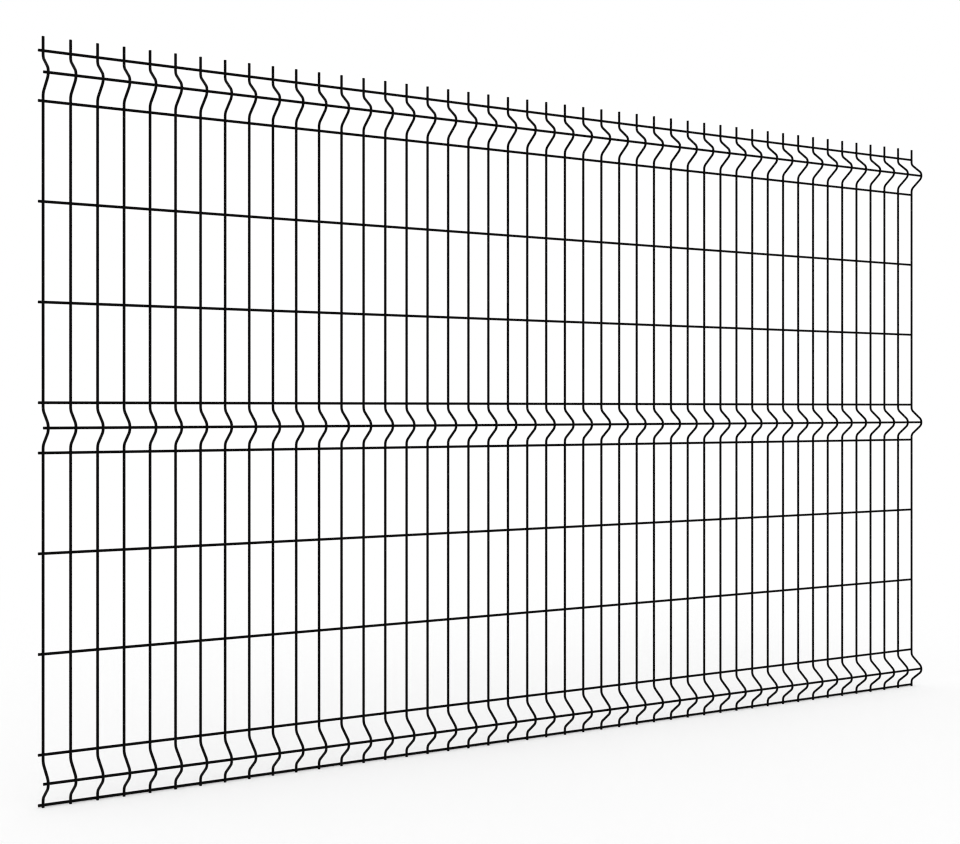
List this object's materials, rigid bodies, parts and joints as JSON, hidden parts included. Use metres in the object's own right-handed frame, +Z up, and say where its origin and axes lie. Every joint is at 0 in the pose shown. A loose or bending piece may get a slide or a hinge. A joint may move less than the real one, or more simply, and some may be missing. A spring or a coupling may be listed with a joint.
{
  "type": "welded mesh fence panel",
  "caption": "Flat panel of black welded steel wire mesh with V-shaped stiffening folds and bare wire tips along its top, held between posts as a guard fence.",
  "frame": {"origin": "on the rear flat of the bottom line wire, at the middle of the panel's length, in the plane where the panel bears on its posts", "axes": "+X along the panel to the right as seen from the fold side, +Y to the rear, towards the posts, +Z up; the folds point to -Y"},
  "size_m": [2.492, 0.048, 1.5315],
  "materials": {
    "black_coating": "matt black powder coat on galvanised steel wire"
  },
  "bodies": {
    "root": {"bottom_fold_apex_wire": "black_coating", "bottom_fold_lower_wire": "black_coating", "bottom_fold_upper_wire": "black_coating", "lower_field_wire_1": "black_coating", "lower_field_wire_2": "black_coating", "middle_fold_apex_wire": "black_coating", "middle_fold_lower_wire": "black_coating", "middle_fold_upper_wire": "black_coating", "top_fold_apex_wire": "black_coating", "top_fold_lower_wire": "black_coating", "top_fold_upper_wire": "black_coating", "upper_field_wire_1": "black_coating", "upper_field_wire_2": "black_coating", "vertical_wire_01": "black_coating", "vertical_wire_02": "black_coating", "vertical_wire_03": "black_coating", "vertical_wire_04": "black_coating", "vertical_wire_05": "black_coating", "vertical_wire_06": "black_coating", "vertical_wire_07": "black_coating", "vertical_wire_08": "black_coating", "vertical_wire_09": "black_coating", "vertical_wire_10": "black_coating", "vertical_wire_11": "black_coating", "vertical_wire_12": "black_coating", "vertical_wire_13": "black_coating", "vertical_wire_14": "black_coating", "vertical_wire_15": "black_coating", "vertical_wire_16": "black_coating", "vertical_wire_17": "black_coating", "vertical_wire_18": "black_coating", "vertical_wire_19": "black_coating", "vertical_wire_20": "black_coating", "vertical_wire_21": "black_coating", "vertical_wire_22": "black_coating", "vertical_wire_23": "black_coating", "vertical_wire_24": "black_coating", "vertical_wire_25": "black_coating", "vertical_wire_26": "black_coating", "vertical_wire_27": "black_coating", "vertical_wire_28": "black_coating", "vertical_wire_29": "black_coating", "vertical_wire_30": "black_coating", "vertical_wire_31": "black_coating", "vertical_wire_32": "black_coating", "vertical_wire_33": "black_coating", "vertical_wire_34": "black_coating", "vertical_wire_35": "black_coating", "vertical_wire_36": "black_coating", "vertical_wire_37": "black_coating", "vertical_wire_38": "black_coating", "vertical_wire_39": "black_coating", "vertical_wire_40": "black_coating", "vertical_wire_41": "black_coating", "vertical_wire_42": "black_coating", "vertical_wire_43": "black_coating", "vertical_wire_44": "black_coating", "vertical_wire_45": "black_coating", "vertical_wire_46": "black_coating"}
  },
  "joints": []
}
